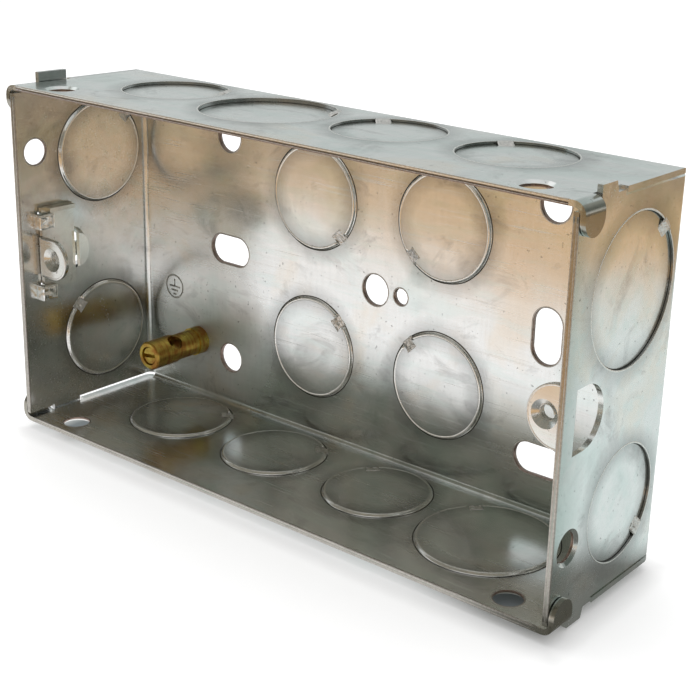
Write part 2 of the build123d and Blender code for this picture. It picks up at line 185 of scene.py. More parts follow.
STAMPED_RING = [(-0.19, -0.02), (-0.18, 0.03), (0.0, 0.015), (0.18, 0.03), (0.19, -0.02)]
STAMPED_STROKE = [(-0.18, -0.02), (-0.17, 0.03), (0.17, 0.03), (0.18, -0.02)]

# Steps round an arc, a slot's end, a lug's end and a thread's turn, and along a front edge
ARC_STEPS = 90
SLOT_STEPS = 40
ROUND_STEPS = 48
EDGE_STEPS = 60

# Films, tints and painted shade on the box in millimetres: where each begins and over what width; a negative
# width counts downwards
LEFT_WALL = (-HALF_LENGTH + 1.6, -0.6)
RIGHT_WALL = (HALF_LENGTH - 1.2, 0.6)
TONGUES = (HALF_LENGTH + 0.3, 0.2)
NEAR_FRONT = (-27.0, -7.0)
LOW_DOWN = (-9.0, -9.0)
BACK_PLATE = (-1.6, 0.4)
# The top edge is kept out of the cut-edge film, so that it stays bright as a painted highlight.
BELOW_TOP = (HALF_HEIGHT - 1.2, -0.3)
CUT_EDGES = (-DEPTH + 0.40, -0.25)

# Studio, in metres and degrees; the domes are low and high turn, low and high rise, and radius
FLOOR_GLOW = 0.42
SKY_STRENGTH = 0.8
LAMP_SIZE = (0.6, 0.4)
LAMP_PLACE = (-0.15, 0.1, 0.6)
CAMERA_PLACE = (0.16277, -0.20238, 0.08191)
CAMERA_TURN = (71.365, -2.368, 37.125)
CAMERA_SHIFT = (-0.1118, -0.045)
ROOM_DOME = (200, 355, 2, 62, 0.85)
WINDOW_DOME = (155, 197, 26, 60, 0.80)


# Sizes and colours that a user would change


class SheetLook(bpy.types.PropertyGroup):
    """Galvanised sheet of the folded box and the adjustable lug."""

    zinc: FloatVectorProperty(
        name="Zinc", description="Main colour of the zinc skin", subtype="COLOR",
        default=(0.91, 0.915, 0.905), max=1,
    )
    warm: FloatVectorProperty(
        name="Warm film", description="Colour of the warm passivation film", subtype="COLOR",
        default=(0.92, 0.87, 0.80), max=1,
    )
    cool: FloatVectorProperty(
        name="Cool film", description="Colour of the grey-green film", subtype="COLOR",
        default=(0.80, 0.86, 0.84), max=1,
    )
    patch: FloatProperty(
        name="Film patch", description="Width of the patches of film", subtype="DISTANCE",
        unit="LENGTH", default=0.022, min=0.002,
    )
    streak: FloatProperty(
        name="Rolling streak", description="Width of the streaks left by rolling", subtype="DISTANCE",
        unit="LENGTH", default=0.0010, min=0.0001,
    )
    roughness: FloatProperty(
        name="Roughness", description="Middle roughness of the zinc skin", subtype="FACTOR",
        default=0.21, min=0, max=1,
    )
    # The left end wall's colour is multiplied by this factor, which draws it darker.
    left_end_brightness: FloatProperty(
        name="Dull end", description="How bright the left end wall stays under its duller film",
        subtype="FACTOR", default=0.76, min=0, max=1,
    )
    # Painted dark reflection: the bent tongues are drawn in this dark colour.
    tongue_dark_reflection: FloatVectorProperty(
        name="Tongue film", description="Dark film on the bent tongues", subtype="COLOR",
        default=(0.42, 0.40, 0.35), max=1,
    )
    # Painted shade: the back plate is drawn darker low down, near the bottom wall.
    low_painted_shade: FloatVectorProperty(
        name="Low film", description="Duller zinc low down on the back plate", subtype="COLOR",
        default=(0.66, 0.68, 0.66), max=1,
    )
    # Dull film of the cut front edges; it is left off the top edge, which stays bright as a painted
    # highlight.
    cut_film: FloatVectorProperty(
        name="Cut edge film", description="Grey-brown film of the cut front edges", subtype="COLOR",
        default=(0.50, 0.48, 0.44), max=1,
    )
    # This colour is mixed in along the right end wall's front edge, which draws it darker and grey-green.
    right_front_tint: FloatVectorProperty(
        name="Front film", description="Grey-green film along the right end wall's front edge",
        subtype="COLOR", default=(0.66, 0.70, 0.68), max=1,
    )


class EdgeLook(bpy.types.PropertyGroup):
    """Sheared edges, rolled edges, stamped lines and painted shade lines."""

    bright: FloatVectorProperty(
        name="Bright edge", description="Freshly sheared metal", subtype="COLOR",
        default=(0.86, 0.85, 0.82), max=1,
    )
    # Painted shade: the dark colour laid in the foot of each knockout's step, where shade falls.
    shade: FloatVectorProperty(
        name="Shear line", description="Dull metal in the foot of a sheared step", subtype="COLOR",
        default=(0.10, 0.10, 0.09), max=1,
    )
    # Dull sheared metal of the hole lips; on the front edges other than the top it is also painted shade, a
    # darker copy of the bright edge.
    dull_and_shaded: FloatVectorProperty(
        name="Handled edge", description="Sheared metal that has gone dull", subtype="COLOR",
        default=(0.54, 0.51, 0.47), max=1,
    )
    torn: FloatVectorProperty(
        name="Torn metal", description="Crumpled metal of the torn bridges", subtype="COLOR",
        default=(0.76, 0.74, 0.71), max=1,
    )
    fracture: FloatVectorProperty(
        name="Fracture band", description="Dull red-brown band of a sheared edge", subtype="COLOR",
        default=(0.34, 0.25, 0.21), max=1,
    )
    stamp: FloatVectorProperty(
        name="Stamped line", description="Shaded floor of the stamped earth sign", subtype="COLOR",
        default=(0.66, 0.66, 0.62), max=1,
    )
    crumple: FloatProperty(
        name="Crumple", description="Height of the crumples on a torn bridge", subtype="DISTANCE",
        unit="LENGTH", default=0.00010, min=0,
    )


class BrassLook(bpy.types.PropertyGroup):
    """Turned brass of the earth terminal."""

    brass: FloatVectorProperty(
        name="Brass", description="Clean turned brass", subtype="COLOR", default=(0.58, 0.45, 0.10), max=1
    )
    tarnish: FloatVectorProperty(
        name="Tarnish", description="Red-brown film in the turned grooves", subtype="COLOR",
        default=(0.40, 0.17, 0.04), max=1,
    )
    groove: FloatProperty(
        name="Turning groove", description="Pitch of the turning grooves", subtype="DISTANCE",
        unit="LENGTH", default=0.00045, min=0.00005,
    )


class StudioLook(bpy.types.PropertyGroup):
    """Floor, mirrored cards, lamp, world and camera."""

    paper: FloatVectorProperty(
        name="Paper", description="Colour of the paper under the box", subtype="COLOR",
        default=(0.80, 0.80, 0.80), max=1,
    )
    # Painted shade: the floor under the box's foot is drawn in this darker colour.
    painted_shade_under_box: FloatVectorProperty(
        name="Shade under the box", description="Floor seen through the holes of the bottom", subtype="COLOR",
        default=(0.30, 0.33, 0.35), max=1,
    )
    near_table: FloatVectorProperty(
        name="Near table", description="Warm table that the metal mirrors beyond the paper", subtype="COLOR",
        default=(0.68, 0.45, 0.24), max=1,
    )
    far_table: FloatVectorProperty(
        name="Far table", description="The same table further away", subtype="COLOR",
        default=(0.265, 0.205, 0.13), max=1,
    )
    room: FloatVectorProperty(
        name="Room", description="Dim room that the metal mirrors in front", subtype="COLOR",
        default=(0.165, 0.178, 0.158), max=1,
    )
    room_warm: FloatVectorProperty(
        name="Room, warm", description="Warmer things in that room", subtype="COLOR",
        default=(0.30, 0.26, 0.20), max=1,
    )
    # Painted shadow: the paper near the box on the table card, which the right-hand end mirrors, is drawn in
    # this colour.
    contact: FloatVectorProperty(
        name="Contact shade", description="Paper shaded by the box that its right-hand end mirrors",
        subtype="COLOR", default=(0.16, 0.165, 0.15), max=1,
    )
    window: FloatVectorProperty(
        name="Window", description="Bright window on the left that rounded edges mirror", subtype="COLOR",
        default=(1.0, 1.0, 1.0), max=1,
    )
    dim_side: FloatVectorProperty(
        name="Dim side", description="Dark green-grey on the right above the box", subtype="COLOR",
        default=(0.09, 0.11, 0.095), max=1,
    )
    back_paper: FloatVectorProperty(
        name="Paper behind", description="Paler, bluer paper that the right-hand end mirrors",
        subtype="COLOR", default=(0.72, 0.79, 0.78), max=1,
    )
    ceiling: FloatVectorProperty(
        name="Ceiling", description="Grey that the top of the box mirrors", subtype="COLOR",
        default=(0.53, 0.565, 0.555), max=1,
    )
    lens: FloatProperty(
        name="Lens", description="Focal length on a 36 mm sensor", unit="CAMERA", default=70.175, min=10
    )
    lamp_power: FloatProperty(
        name="Lamp power", description="Power of the soft lamp overhead", unit="POWER", default=1.5, min=0
    )


class BackBoxLook(bpy.types.PropertyGroup):
    """All the looks of the back box."""

    sheet: PointerProperty(type=SheetLook)
    edge: PointerProperty(type=EdgeLook)
    brass: PointerProperty(type=BrassLook)
    studio: PointerProperty(type=StudioLook)


# Node helpers


def new_material(name):
    """A material with an empty node tree but for its output and metal shader."""
    material = bpy.data.materials.new(name)
    material.use_nodes = True
    tree = material.node_tree
    tree.nodes.clear()
    output = tree.nodes.new("ShaderNodeOutputMaterial")
    shader = tree.nodes.new("ShaderNodeBsdfPrincipled")
    tree.links.new(shader.outputs["BSDF"], output.inputs["Surface"])
    return material, tree, shader


def stretched(tree, scale, rotation=(0, 0, 0)):
    """Object coordinates scaled by scale, one number per axis, in features per metre."""
    coordinates = tree.nodes.new("ShaderNodeTexCoord")
    mapping = tree.nodes.new("ShaderNodeMapping")
    mapping.inputs["Scale"].default_value = scale
    mapping.inputs["Rotation"].default_value = rotation
    tree.links.new(coordinates.outputs["Object"], mapping.inputs["Vector"])
    return mapping.outputs["Vector"]


def noise(tree, vector, detail=2.0, roughness=0.5, distortion=0.0):
    """Noise of unit scale along a mapped vector."""
    node = tree.nodes.new("ShaderNodeTexNoise")
    node.inputs["Scale"].default_value = 1.0
    node.inputs["Detail"].default_value = detail
    node.inputs["Roughness"].default_value = roughness
    node.inputs["Distortion"].default_value = distortion
    tree.links.new(vector, node.inputs["Vector"])
    return node.outputs["Fac"]


def ramp(tree, factor, stops):
    """Map a factor through (position, value) stops to grey or colour."""
    node = tree.nodes.new("ShaderNodeValToRGB")
    elements = node.color_ramp.elements
    while len(elements) < len(stops):
        elements.new(0.5)
    for element, (position, value) in zip(elements, stops):
        element.position = position
        element.color = (value, value, value, 1) if isinstance(value, float) else (*value, 1)
    tree.links.new(factor, node.inputs["Fac"])
    return node.outputs["Color"]


def mix(tree, factor, first, second, blend="MIX"):
    """Mix two colours, given as values or sockets."""
    node = tree.nodes.new("ShaderNodeMix")
    node.data_type = "RGBA"
    node.blend_type = blend
    for name, value in (("Factor", factor), ("A", first), ("B", second)):
        socket = next(s for s in node.inputs if s.name == name and (name == "Factor" or s.type == "RGBA"))
        if isinstance(value, bpy.types.NodeSocket):
            tree.links.new(value, socket)
        elif name == "Factor":
            socket.default_value = value
        else:
            socket.default_value = (*value, 1)
    return next(s for s in node.outputs if s.type == "RGBA")


def maths(tree, operation, first, second=0.0):
    """One arithmetic step between sockets or numbers."""
    node = tree.nodes.new("ShaderNodeMath")
    node.operation = operation
    for socket, value in zip(node.inputs, (first, second)):
        if isinstance(value, bpy.types.NodeSocket):
            tree.links.new(value, socket)
        else:
            socket.default_value = value
    return node.outputs["Value"]


def vector_maths(tree, operation, vector, other=None):
    """One number from a vector: its length, its distance from another place or its run along a direction."""
    node = tree.nodes.new("ShaderNodeVectorMath")
    node.operation = operation
    tree.links.new(vector, node.inputs[0])
    if other is not None:
        node.inputs[1].default_value = other
    return node.outputs["Value"]


def near_place(tree, place):
    """Distance in metres from a place given in millimetres."""
    return vector_maths(tree, "DISTANCE", stretched(tree, (1, 1, 1)), Vector(place) * MM)


def axes_in_mm(tree):
    """Object coordinates in millimetres, one socket per axis."""
    split = tree.nodes.new("ShaderNodeSeparateXYZ")
    tree.links.new(stretched(tree, (1 / MM, 1 / MM, 1 / MM)), split.inputs["Vector"])
    return split.outputs["X"], split.outputs["Y"], split.outputs["Z"]


def away_from(tree, value, middle=0.0):
    """How far a value is from its middle, either way."""
    return maths(tree, "ABSOLUTE", maths(tree, "SUBTRACT", value, middle))


def step_at(tree, value, place, width):
    """0 before place and 1 past it by width; a negative width counts downwards."""
    node = tree.nodes.new("ShaderNodeMapRange")
    tree.links.new(value, node.inputs["Value"])
    node.inputs["From Min"].default_value = place
    node.inputs["From Max"].default_value = place + width
    return node.outputs["Result"]


def bump(tree, height, strength, distance):
    """Bump from a height, for the shader's normal."""
    node = tree.nodes.new("ShaderNodeBump")
    node.inputs["Strength"].default_value = strength
    node.inputs["Distance"].default_value = distance
    tree.links.new(height, node.inputs["Height"])
    return node.outputs["Normal"]


def dress(node_name, material):
    """Give a CAD node its material in every slot."""
    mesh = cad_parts[node_name].data
    if not mesh.materials:
        mesh.materials.append(material)
    for place in range(len(mesh.materials)):
        mesh.materials[place] = material


# Materials


def zinc_material(name, look, tone=None):
    """Galvanised zinc: film patches, rolling streaks both ways, fine scratches, dark specks and waviness.

    The box, which has no tone of its own, also gets its worn and shaded knockout rings, its local films,
    tints and painted shade, and its scuffed patch.
    """
    on_box = tone is None
    material, tree, shader = new_material(name)
    per_patch = 1 / look.patch
    patches = noise(tree, stretched(tree, (per_patch, per_patch, per_patch)), 3.0, 0.55, 0.6)
    tint = ramp(tree, patches, [(0.36, look.cool), (0.47, look.zinc), (0.55, look.zinc), (0.68, look.warm)])
    across = 1 / look.streak
    lengthwise = noise(tree, stretched(tree, (across / 30, across, across)), 3.0, 0.6)
    crosswise = noise(tree, stretched(tree, (across, across / 12, across / 12)), 3.0, 0.6)
    tint = mix(tree, 0.22, tint, ramp(tree, lengthwise, [(0.35, 0.84), (0.60, 1.0)]), "MULTIPLY")
    tint = mix(tree, 0.22, tint, ramp(tree, crosswise, [(0.35, 0.84), (0.60, 1.0)]), "MULTIPLY")
    smudges = noise(tree, stretched(tree, (90, 130, 130)), 4.0, 0.65, 0.8)
    tint = mix(tree, 0.5, tint, ramp(tree, smudges, [(0.30, 0.50), (0.44, 1.0)]), "MULTIPLY")
    worn = noise(tree, stretched(tree, (48, 62, 62)), 6.0, 0.62, 0.4)
    tint = mix(tree, 0.38, tint, ramp(tree, worn, [(0.36, 0.70), (0.46, 1.0)]), "MULTIPLY")
    cloud = noise(tree, stretched(tree, (per_patch * 1.6, per_patch * 8, per_patch * 8)), 4.0, 0.6, 0.3)
    tint = mix(tree, ramp(tree, cloud, [(0.50, 0.0), (0.62, 0.6)]), tint, look.cool)
    specks = noise(tree, stretched(tree, (1300, 1300, 1300)), 2.0, 0.5)
    tint = mix(tree, 0.7, tint, ramp(tree, specks, [(0.24, 0.30), (0.31, 1.0)]), "MULTIPLY")
    if on_box:
        # Knockout halos: wear and painted shade along each step.
        tint = mix(tree, 1.0, tint, ring_wear_and_shade(tree, worn), "MULTIPLY")
    tint = mix(tree, 1.0, tint, films_and_painted_shade(tree, look) if on_box else tone, "MULTIPLY")
    tree.links.new(tint, shader.inputs["Base Color"])
    shader.inputs["Metallic"].default_value = 1.0
    scratches = noise(tree, stretched(tree, (60, 2600, 2600), (0.0, 0.35, 0.25)), 1.0, 0.4)
    scratched = maths(tree, "MULTIPLY", ramp(tree, scratches, [(0.62, 0.0), (0.70, 1.0)]), 0.06)
    uneven = maths(tree, "MULTIPLY", maths(tree, "SUBTRACT", patches, 0.5), 0.20)
    rough = maths(tree, "ADD", maths(tree, "ADD", scratched, uneven), look.roughness)
    if on_box:
        scuffs = ramp(tree, near_place(tree, SCUFFED_PLACE), [(0.006, 0.36), (0.019, 0.0)])
        rough = maths(tree, "ADD", rough, scuffs)
    tree.links.new(rough, shader.inputs["Roughness"])
    waves = maths(tree, "MULTIPLY", noise(tree, stretched(tree, (70, 70, 70)), 2.0, 0.5), 4.0)
    rolled = maths(tree, "MULTIPLY", maths(tree, "ADD", lengthwise, crosswise), 0.035)
    tree.links.new(bump(tree, maths(tree, "ADD", waves, rolled), 0.25, 0.0001), shader.inputs["Normal"])
    return material


def ring_wear_and_shade(tree, breakup):
    """A grey, broken halo along the edge of each knockout: partly wear where the punch rubbed the zinc,
    partly painted shade along the step.
    """
    closest = None
    for entry in KNOCKOUTS:
        centre, _, _, _, radius, _ = knockout_frame(entry)
        away = away_from(tree, near_place(tree, centre), radius * MM)
        closest = away if closest is None else maths(tree, "MINIMUM", closest, away)
    spread = maths(tree, "MULTIPLY", maths(tree, "SUBTRACT", breakup, 0.5), 0.005)
    halo = maths(tree, "ADD", closest, spread)
    return ramp(tree, halo, [(0.0, 0.62), (0.0006, 0.82), (0.0017, 1.0)])


def films_and_painted_shade(tree, look):
    """A darker left end wall and a grey-green tint along the right end wall's front edge; painted dark
    reflection on the tongues and painted shade low down on the back plate; a dull film on the cut front
    edges, left off the top edge, which stays bright as a painted highlight.
    """
    across, back, rise = axes_in_mm(tree)
    at_left = step_at(tree, across, *LEFT_WALL)
    at_front = maths(tree, "MULTIPLY", step_at(tree, back, *NEAR_FRONT), step_at(tree, across, *RIGHT_WALL))
    at_low_back = maths(tree, "MULTIPLY", step_at(tree, rise, *LOW_DOWN), step_at(tree, back, *BACK_PLATE))
    # The cut-edge film stops below the top, so that the top edge stays bright as a painted highlight.
    at_cut = maths(tree, "MULTIPLY", step_at(tree, rise, *BELOW_TOP), step_at(tree, back, *CUT_EDGES))
    at_tongue = step_at(tree, away_from(tree, across), *TONGUES)
    # The left end wall is drawn darker.
    film = mix(tree, at_left, (1, 1, 1), (look.left_end_brightness,) * 3)
    # Painted shade low down on the back plate.
    film = mix(tree, at_low_back, film, look.low_painted_shade)
    # Darker grey-green tint along the right end wall's front edge.
    film = mix(tree, at_front, film, look.right_front_tint)
    film = mix(tree, at_cut, film, look.cut_film)
    # Painted dark reflection on the bent tongues.
    return mix(tree, at_tongue, film, look.tongue_dark_reflection)


def edge_material(name, colour, roughness, speckle):
    """Sheared or torn metal, also used for painted shade lines: fine tearing marks over one colour."""
    material, tree, shader = new_material(name)
    marks = noise(tree, stretched(tree, (2200, 2200, 2200)), 3.0, 0.6)
    dull = tuple(channel * speckle for channel in colour)
    tree.links.new(ramp(tree, marks, [(0.35, dull), (0.60, tuple(colour))]), shader.inputs["Base Color"])
    shader.inputs["Metallic"].default_value = 1.0
    shader.inputs["Roughness"].default_value = roughness
    tree.links.new(bump(tree, marks, 0.4, 0.00003), shader.inputs["Normal"])
    return material


def brass_material(name, look):
    """Turned brass with fine grooves round the terminal's axis and a red-brown film in them."""
    material, tree, shader = new_material(name)
    grooves = noise(tree, stretched(tree, (60, 1 / look.groove, 60)), 2.0, 0.6)
    film = noise(tree, stretched(tree, (420, 420, 420)), 3.0, 0.6)
    shade = maths(tree, "ADD", maths(tree, "MULTIPLY", grooves, 0.35), maths(tree, "MULTIPLY", film, 0.65))
    tint = ramp(tree, shade, [(0.40, look.tarnish), (0.58, look.brass)])
    tree.links.new(tint, shader.inputs["Base Color"])
    shader.inputs["Metallic"].default_value = 1.0
    tree.links.new(ramp(tree, film, [(0.3, 0.42), (0.7, 0.26)]), shader.inputs["Roughness"])
    tree.links.new(bump(tree, grooves, 0.35, 0.00003), shader.inputs["Normal"])
    return material


# Mesh helpers; all their lengths are millimetres


class Form:
    """Collects the points and faces of one piece."""

    def __init__(self):
        self.points = []
        self.faces = []

    def sweep(self, stations, profile, closed):
        """Sweep a closed profile of (out, up) pairs along stations of (point, out, up, swell)."""
        first = len(self.points)
        size = len(profile)
        for point, out, up, swell in stations:
            for reach, rise in profile:
                self.points.append((point + out * (reach + swell) + up * rise) * MM)
        count = len(stations)
        for station in range(count if closed else count - 1):
            here = first + station * size
            there = first + (station + 1) % count * size
            for place in range(size):
                following = (place + 1) % size
                self.faces.append((here + place, here + following, there + following, there + place))
        if not closed:
            self.faces.append(tuple(first + place for place in reversed(range(size))))
            self.faces.append(tuple(first + (count - 1) * size + place for place in range(size)))

    def patch(self, rows):
        """Add a sheet through rows of points that all have the same number."""
        first = len(self.points)
        width = len(rows[0])
        for row in rows:
            self.points.extend(point * MM for point in row)
        for row in range(len(rows) - 1):
            for column in range(width - 1):
                a = first + row * width + column
                self.faces.append((a, a + 1, a + width + 1, a + width))

    def piece(self, name, material, body, slot, smooth=True):
        """Make the object and let it ride on its body; slot is not used."""
        mesh = bpy.data.meshes.new(name)
        mesh.from_pydata(self.points, [], self.faces)
        mesh.validate()
        mesh.polygons.foreach_set("use_smooth", [smooth] * len(mesh.polygons))
        mesh.materials.append(material)
        obj = bpy.data.objects.new(name, mesh)
        bpy.context.scene.collection.objects.link(obj)
        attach(obj, body)


def ripple(rng, waves, height):
    """A smooth wave round a full turn that returns to where it starts."""
    parts = [(wave, rng.uniform(0, 2 * math.pi), rng.uniform(0.4, 1.0)) for wave in waves]
    return lambda turn: height * sum(size * math.sin(wave * turn + phase) for wave, phase, size in parts)


def arc(centre, start, side, up, radius, ends, swell):
    """Stations round an arc whose angle 0 points to start and which turns towards side."""
    stations = []
    low, high = ends
    for step in range(ARC_STEPS + 1):
        turn = low + (high - low) * step / ARC_STEPS
        out = start * math.cos(turn) + side * math.sin(turn)
        stations.append((centre + out * radius, out, up, swell(turn)))
    return stations


def slot_outline(centre, along, side, up, half_run, radius):
    """Stations round a slot, or a round hole where half_run is 0."""
    stations = []
    for end in (1, -1):
        middle = centre + along * (end * half_run)
        for step in range(SLOT_STEPS + 1):
            turn = math.pi * (step / SLOT_STEPS - 0.5)
            out = along * (end * math.cos(turn)) + side * (end * math.sin(turn))
            stations.append((middle + out * radius, out, up, 0.0))
    return stations


def knockout_frame(entry):
    """Centre, inward direction, bridge direction, side, radius and sink of one knockout."""
    wall, centre, towards, radius, sink = entry
    inward = INWARD[wall]
    start = Vector(towards).normalized()
    return Vector(centre), inward, start, inward.cross(start), radius, sink


# Operators


class BACKBOX_OT_sheet(bpy.types.Operator):
    """Give the folded box and the adjustable lug their galvanised skin"""

    bl_idname = "back_box.sheet"
    bl_label = "Galvanised sheet"

    def execute(self, context):
        look = context.scene.back_box.sheet
        dress("box_body", zinc_material("galvanised_sheet", look))
        dress("adjustable_lug", zinc_material("plated_lug", look, (0.80, 0.79, 0.76)))
        return {"FINISHED"}


class BACKBOX_OT_knockouts(bpy.types.Operator):
    """Form the rolled and sheared edges of the knockouts and their torn bridges, and lay painted shade lines
    at the feet of their steps
    """

    bl_idname = "back_box.knockouts"
    bl_label = "Knockout edges"

    def execute(self, context):
        look = context.scene.back_box.edge
        rubbed = edge_material("rubbed_edge", look.bright, 0.22, 0.85)
        bright = edge_material("sheared_edge", look.bright, 0.30, 0.8)
        shade = edge_material("painted_step_shade", look.shade, 0.55, 0.6)
        torn = edge_material("torn_bridge", look.torn, 0.36, 0.75)
        rng = random.Random(11)
        rolled = Form()
        lips = Form()
        lines = Form()
        bridges = Form()
        for entry in KNOCKOUTS:
            centre, inward, start, side, radius, sink = knockout_frame(entry)
            gap = (BRIDGE_HALF_WIDTH + 0.1) / radius
            ends = (gap, 2 * math.pi - gap)
            inner = centre + inward * SHEET
            inside = (inner, start, side, inward, radius, ends)
            outside = (centre, start, side, -inward, radius, ends)
            rolled.sweep(arc(*inside, ripple(rng, (2, 3, 7, 13), 0.020)), rolled_profile(sink), False)
            # Dark lines of painted shade beside the steps, on the inside and the outside.
            lines.sweep(arc(*inside, ripple(rng, (3, 5, 11), 0.025)), SHEAR_SHADE_LINE, False)
            lips.sweep(arc(*outside, ripple(rng, (3, 8), 0.008)), SHEARED_LIP, False)
            lines.sweep(arc(*outside, ripple(rng, (3, 8), 0.010)), step_foot_profile(sink), False)
            torn_bridge(bridges, inner, inward, start, side, radius, sink, look.crumple / MM)
            torn_bridge(bridges, centre, -inward, start, side, radius, -sink, look.crumple / MM)
        rolled.piece("knockout_rolled_edges", rubbed, BODY_BOX, SLOT_BOX)
        lips.piece("knockout_sheared_lips", bright, BODY_BOX, SLOT_BOX)
        lines.piece("knockout_painted_shade_lines", shade, BODY_BOX, SLOT_BOX)
        bridges.piece("knockout_torn_bridges", torn, BODY_BOX, SLOT_BOX, smooth=False)
        return {"FINISHED"}


def rolled_profile(sink):
    """The rolled edge over the step on the inside: a steep foot, a rounded shoulder and a faint lip."""
    return [
        (0.44, -0.06),
        (0.38, 0.02),
        (0.28, 0.06),
        (0.18, 0.34 * sink),
        (0.10, 0.72 * sink),
        (0.03, sink),
        (-0.07, sink + 0.045),
        (-0.20, sink + 0.055),
        (-0.36, sink + 0.03),
        (-0.52, sink - 0.06),
        (-0.42, -0.06),
    ]


def step_foot_profile(sink):
    """The painted shade line in the foot of the step on the outside."""
    return [
        (0.03, -sink - 0.05),
        (0.03, -sink + 0.09),
        (-0.06, -sink + 0.08),
        (-0.20, -sink + 0.012),
        (-0.24, -sink - 0.05),
    ]


def torn_bridge(form, centre, up, start, side, radius, rise, crumple):
    """A crumpled skin over the sloping bridge that holds a knockout; rise is its height at the tip."""
    low = radius - BRIDGE_LENGTH - 0.4
    high = radius + BRIDGE_ROOT + 0.3
    half = BRIDGE_HALF_WIDTH + 0.25
    rows = 13
    columns = 13
    grid = []
    for row in range(rows + 1):
        reach = low + (high - low) * row / rows
        share = min(max((radius - reach) / BRIDGE_LENGTH, 0.0), 1.0)
        line = []
        for column in range(columns + 1):
            across = half * (2 * column / columns - 1)
            at_edge = row in (0, rows) or column in (0, columns)
            point = centre + start * reach + side * across
            crease = abs(lattice.noise(point * 1.7)) * 2.2 + 0.15 * lattice.noise(point * 5.0)
            proud = -0.05 if at_edge else 0.02 + crumple * crease
            height = min(share * rise + proud, max(rise, 0.0) + 0.12, 0.03 if rise < 0 else 9.0)
            line.append(point + up * height)
        grid.append(line)
    form.patch(grid)


class BACKBOX_OT_edges(bpy.types.Operator):
    """Form the sheared lips of the holes, the front edges, the lugs and the skins of the hooks"""

    bl_idname = "back_box.edges"
    bl_label = "Sheared edges"

    def execute(self, context):
        look = context.scene.back_box.edge
        bright = bpy.data.materials["sheared_edge"]
        dull_and_shaded = edge_material("handled_edge", look.dull_and_shaded, 0.34, 0.7)
        fracture = edge_material("fracture_band", look.fracture, 0.42, 0.55)
        holes = Form()
        sleeves = Form()
        for (x, z), run_across, run_up, radius in BACK_HOLES:
            centre = Vector((x, -SHEET, z))
            along, side = (Z_AXIS, X_AXIS) if run_up else (X_AXIS, Z_AXIS)
            outline = slot_outline(centre, along, side, INWARD["back"], max(run_across, run_up), radius)
            holes.sweep(outline, HOLE_LIP, True)
            sleeves.sweep(outline, HOLE_SLEEVE, True)
        for wall, place in FRONT_HOLES:
            inward = INWARD[wall]
            centre = Vector(place) + inward * SHEET
            outline = slot_outline(centre, Y_AXIS, inward.cross(Y_AXIS), inward, 0.0, FRONT_HOLE_RADIUS)
            holes.sweep(outline, HOLE_LIP, True)
            sleeves.sweep(outline, SHORT_SLEEVE, True)
        holes.piece("hole_lips", dull_and_shaded, BODY_BOX, SLOT_BOX)
        sleeves.piece("hole_fracture_bands", fracture, BODY_BOX, SLOT_BOX)

        rng = random.Random(23)
        burrs = Form()
        shaded_burrs = Form()
        band = Form()
        long_run = HALF_LENGTH - 2.0
        short_run = HALF_HEIGHT - 2.4
        for wall, along, half_size, reach in (
            ("top", X_AXIS, HALF_HEIGHT, long_run),
            ("bottom", X_AXIS, HALF_HEIGHT, long_run),
            ("left", Z_AXIS, HALF_LENGTH, short_run),
            ("right", Z_AXIS, HALF_LENGTH, short_run),
        ):
            out = -INWARD[wall]
            for depth, up in ((0.0, out), (SHEET, -out)):
                edge = FRONT * DEPTH + out * (half_size - depth)
                stations = front_edge(edge, along, reach, up, ripple(rng, (5, 9, 17), 0.006))
                # The top edge's burrs keep the bright metal; the other edges take the darker metal as painted
                # shade.
                (burrs if wall == "top" else shaded_burrs).sweep(stations, BURR, False)
                if wall == "top" and depth:
                    band.sweep(stations, FRACTURE_BAND, False)
        burrs.piece("top_edge_burrs", bright, BODY_BOX, SLOT_BOX)
        shaded_burrs.piece("front_edge_burrs", dull_and_shaded, BODY_BOX, SLOT_BOX)
        band.piece("top_edge_fracture_band", fracture, BODY_BOX, SLOT_BOX)

        for name, plate, onwards, body, slot in (
            ("fixed_lug_rim", FIXED_LUG, -1, BODY_BOX, SLOT_BOX),
            ("adjustable_lug_rim", ADJUSTABLE_LUG, 1, BODY_LUG, SLOT_LUG),
        ):
            rim = Form()
            rim.sweep(lug_outline(*plate, onwards), LUG_RIM, False)
            rim.piece(name, bright, body, slot)

        hooks = Form()
        for bottom in HOOK_BOTTOMS:
            hook_skin(hooks, bottom)
        hooks.piece("hook_skins", bpy.data.materials["rubbed_edge"], BODY_BOX, SLOT_BOX)
        return {"FINISHED"}


def front_edge(edge, along, reach, up, wave):
    """Stations along one edge of a wall's cut front; edge is its middle."""
    stations = []
    for step in range(EDGE_STEPS + 1):
        share = step / EDGE_STEPS
        place = edge + along * (reach * (2 * share - 1))
        stations.append((place, FRONT, up, min(wave(2 * math.pi * share), 0.0)))
    return stations


def hook_skin(form, bottom):
    """A creased skin round the outside of one hook, from its free end over its bend to its root."""
    rows = 30
    columns = 12
    corner = Vector((HOOK_FACE_X, HOOK_FREE_Y - HOOK_LENGTH, bottom))
    grid = []
    for row in range(rows + 1):
        run = (HOOK_LENGTH + HOOK_STAND) * row / rows - HOOK_LENGTH
        line = []
        for column in range(columns + 1):
            foot = corner + Vector((-max(run, 0.0), -min(run, 0.0), HOOK_HEIGHT * column / columns))
            share = min(max(run / 0.5 + 0.5, 0.0), 1.0)
            out = (X_AXIS * (1 - share) + FRONT * share).normalized()
            at_edge = row in (0, rows) or column in (0, columns)
            crease = 0.03 + 0.22 * abs(lattice.noise(foot * 0.9)) + 0.03 * lattice.noise(foot * 3.0)
            line.append(foot + out * (-0.05 if at_edge else max(crease, 0.02)))
        grid.append(line)
    form.patch(grid)


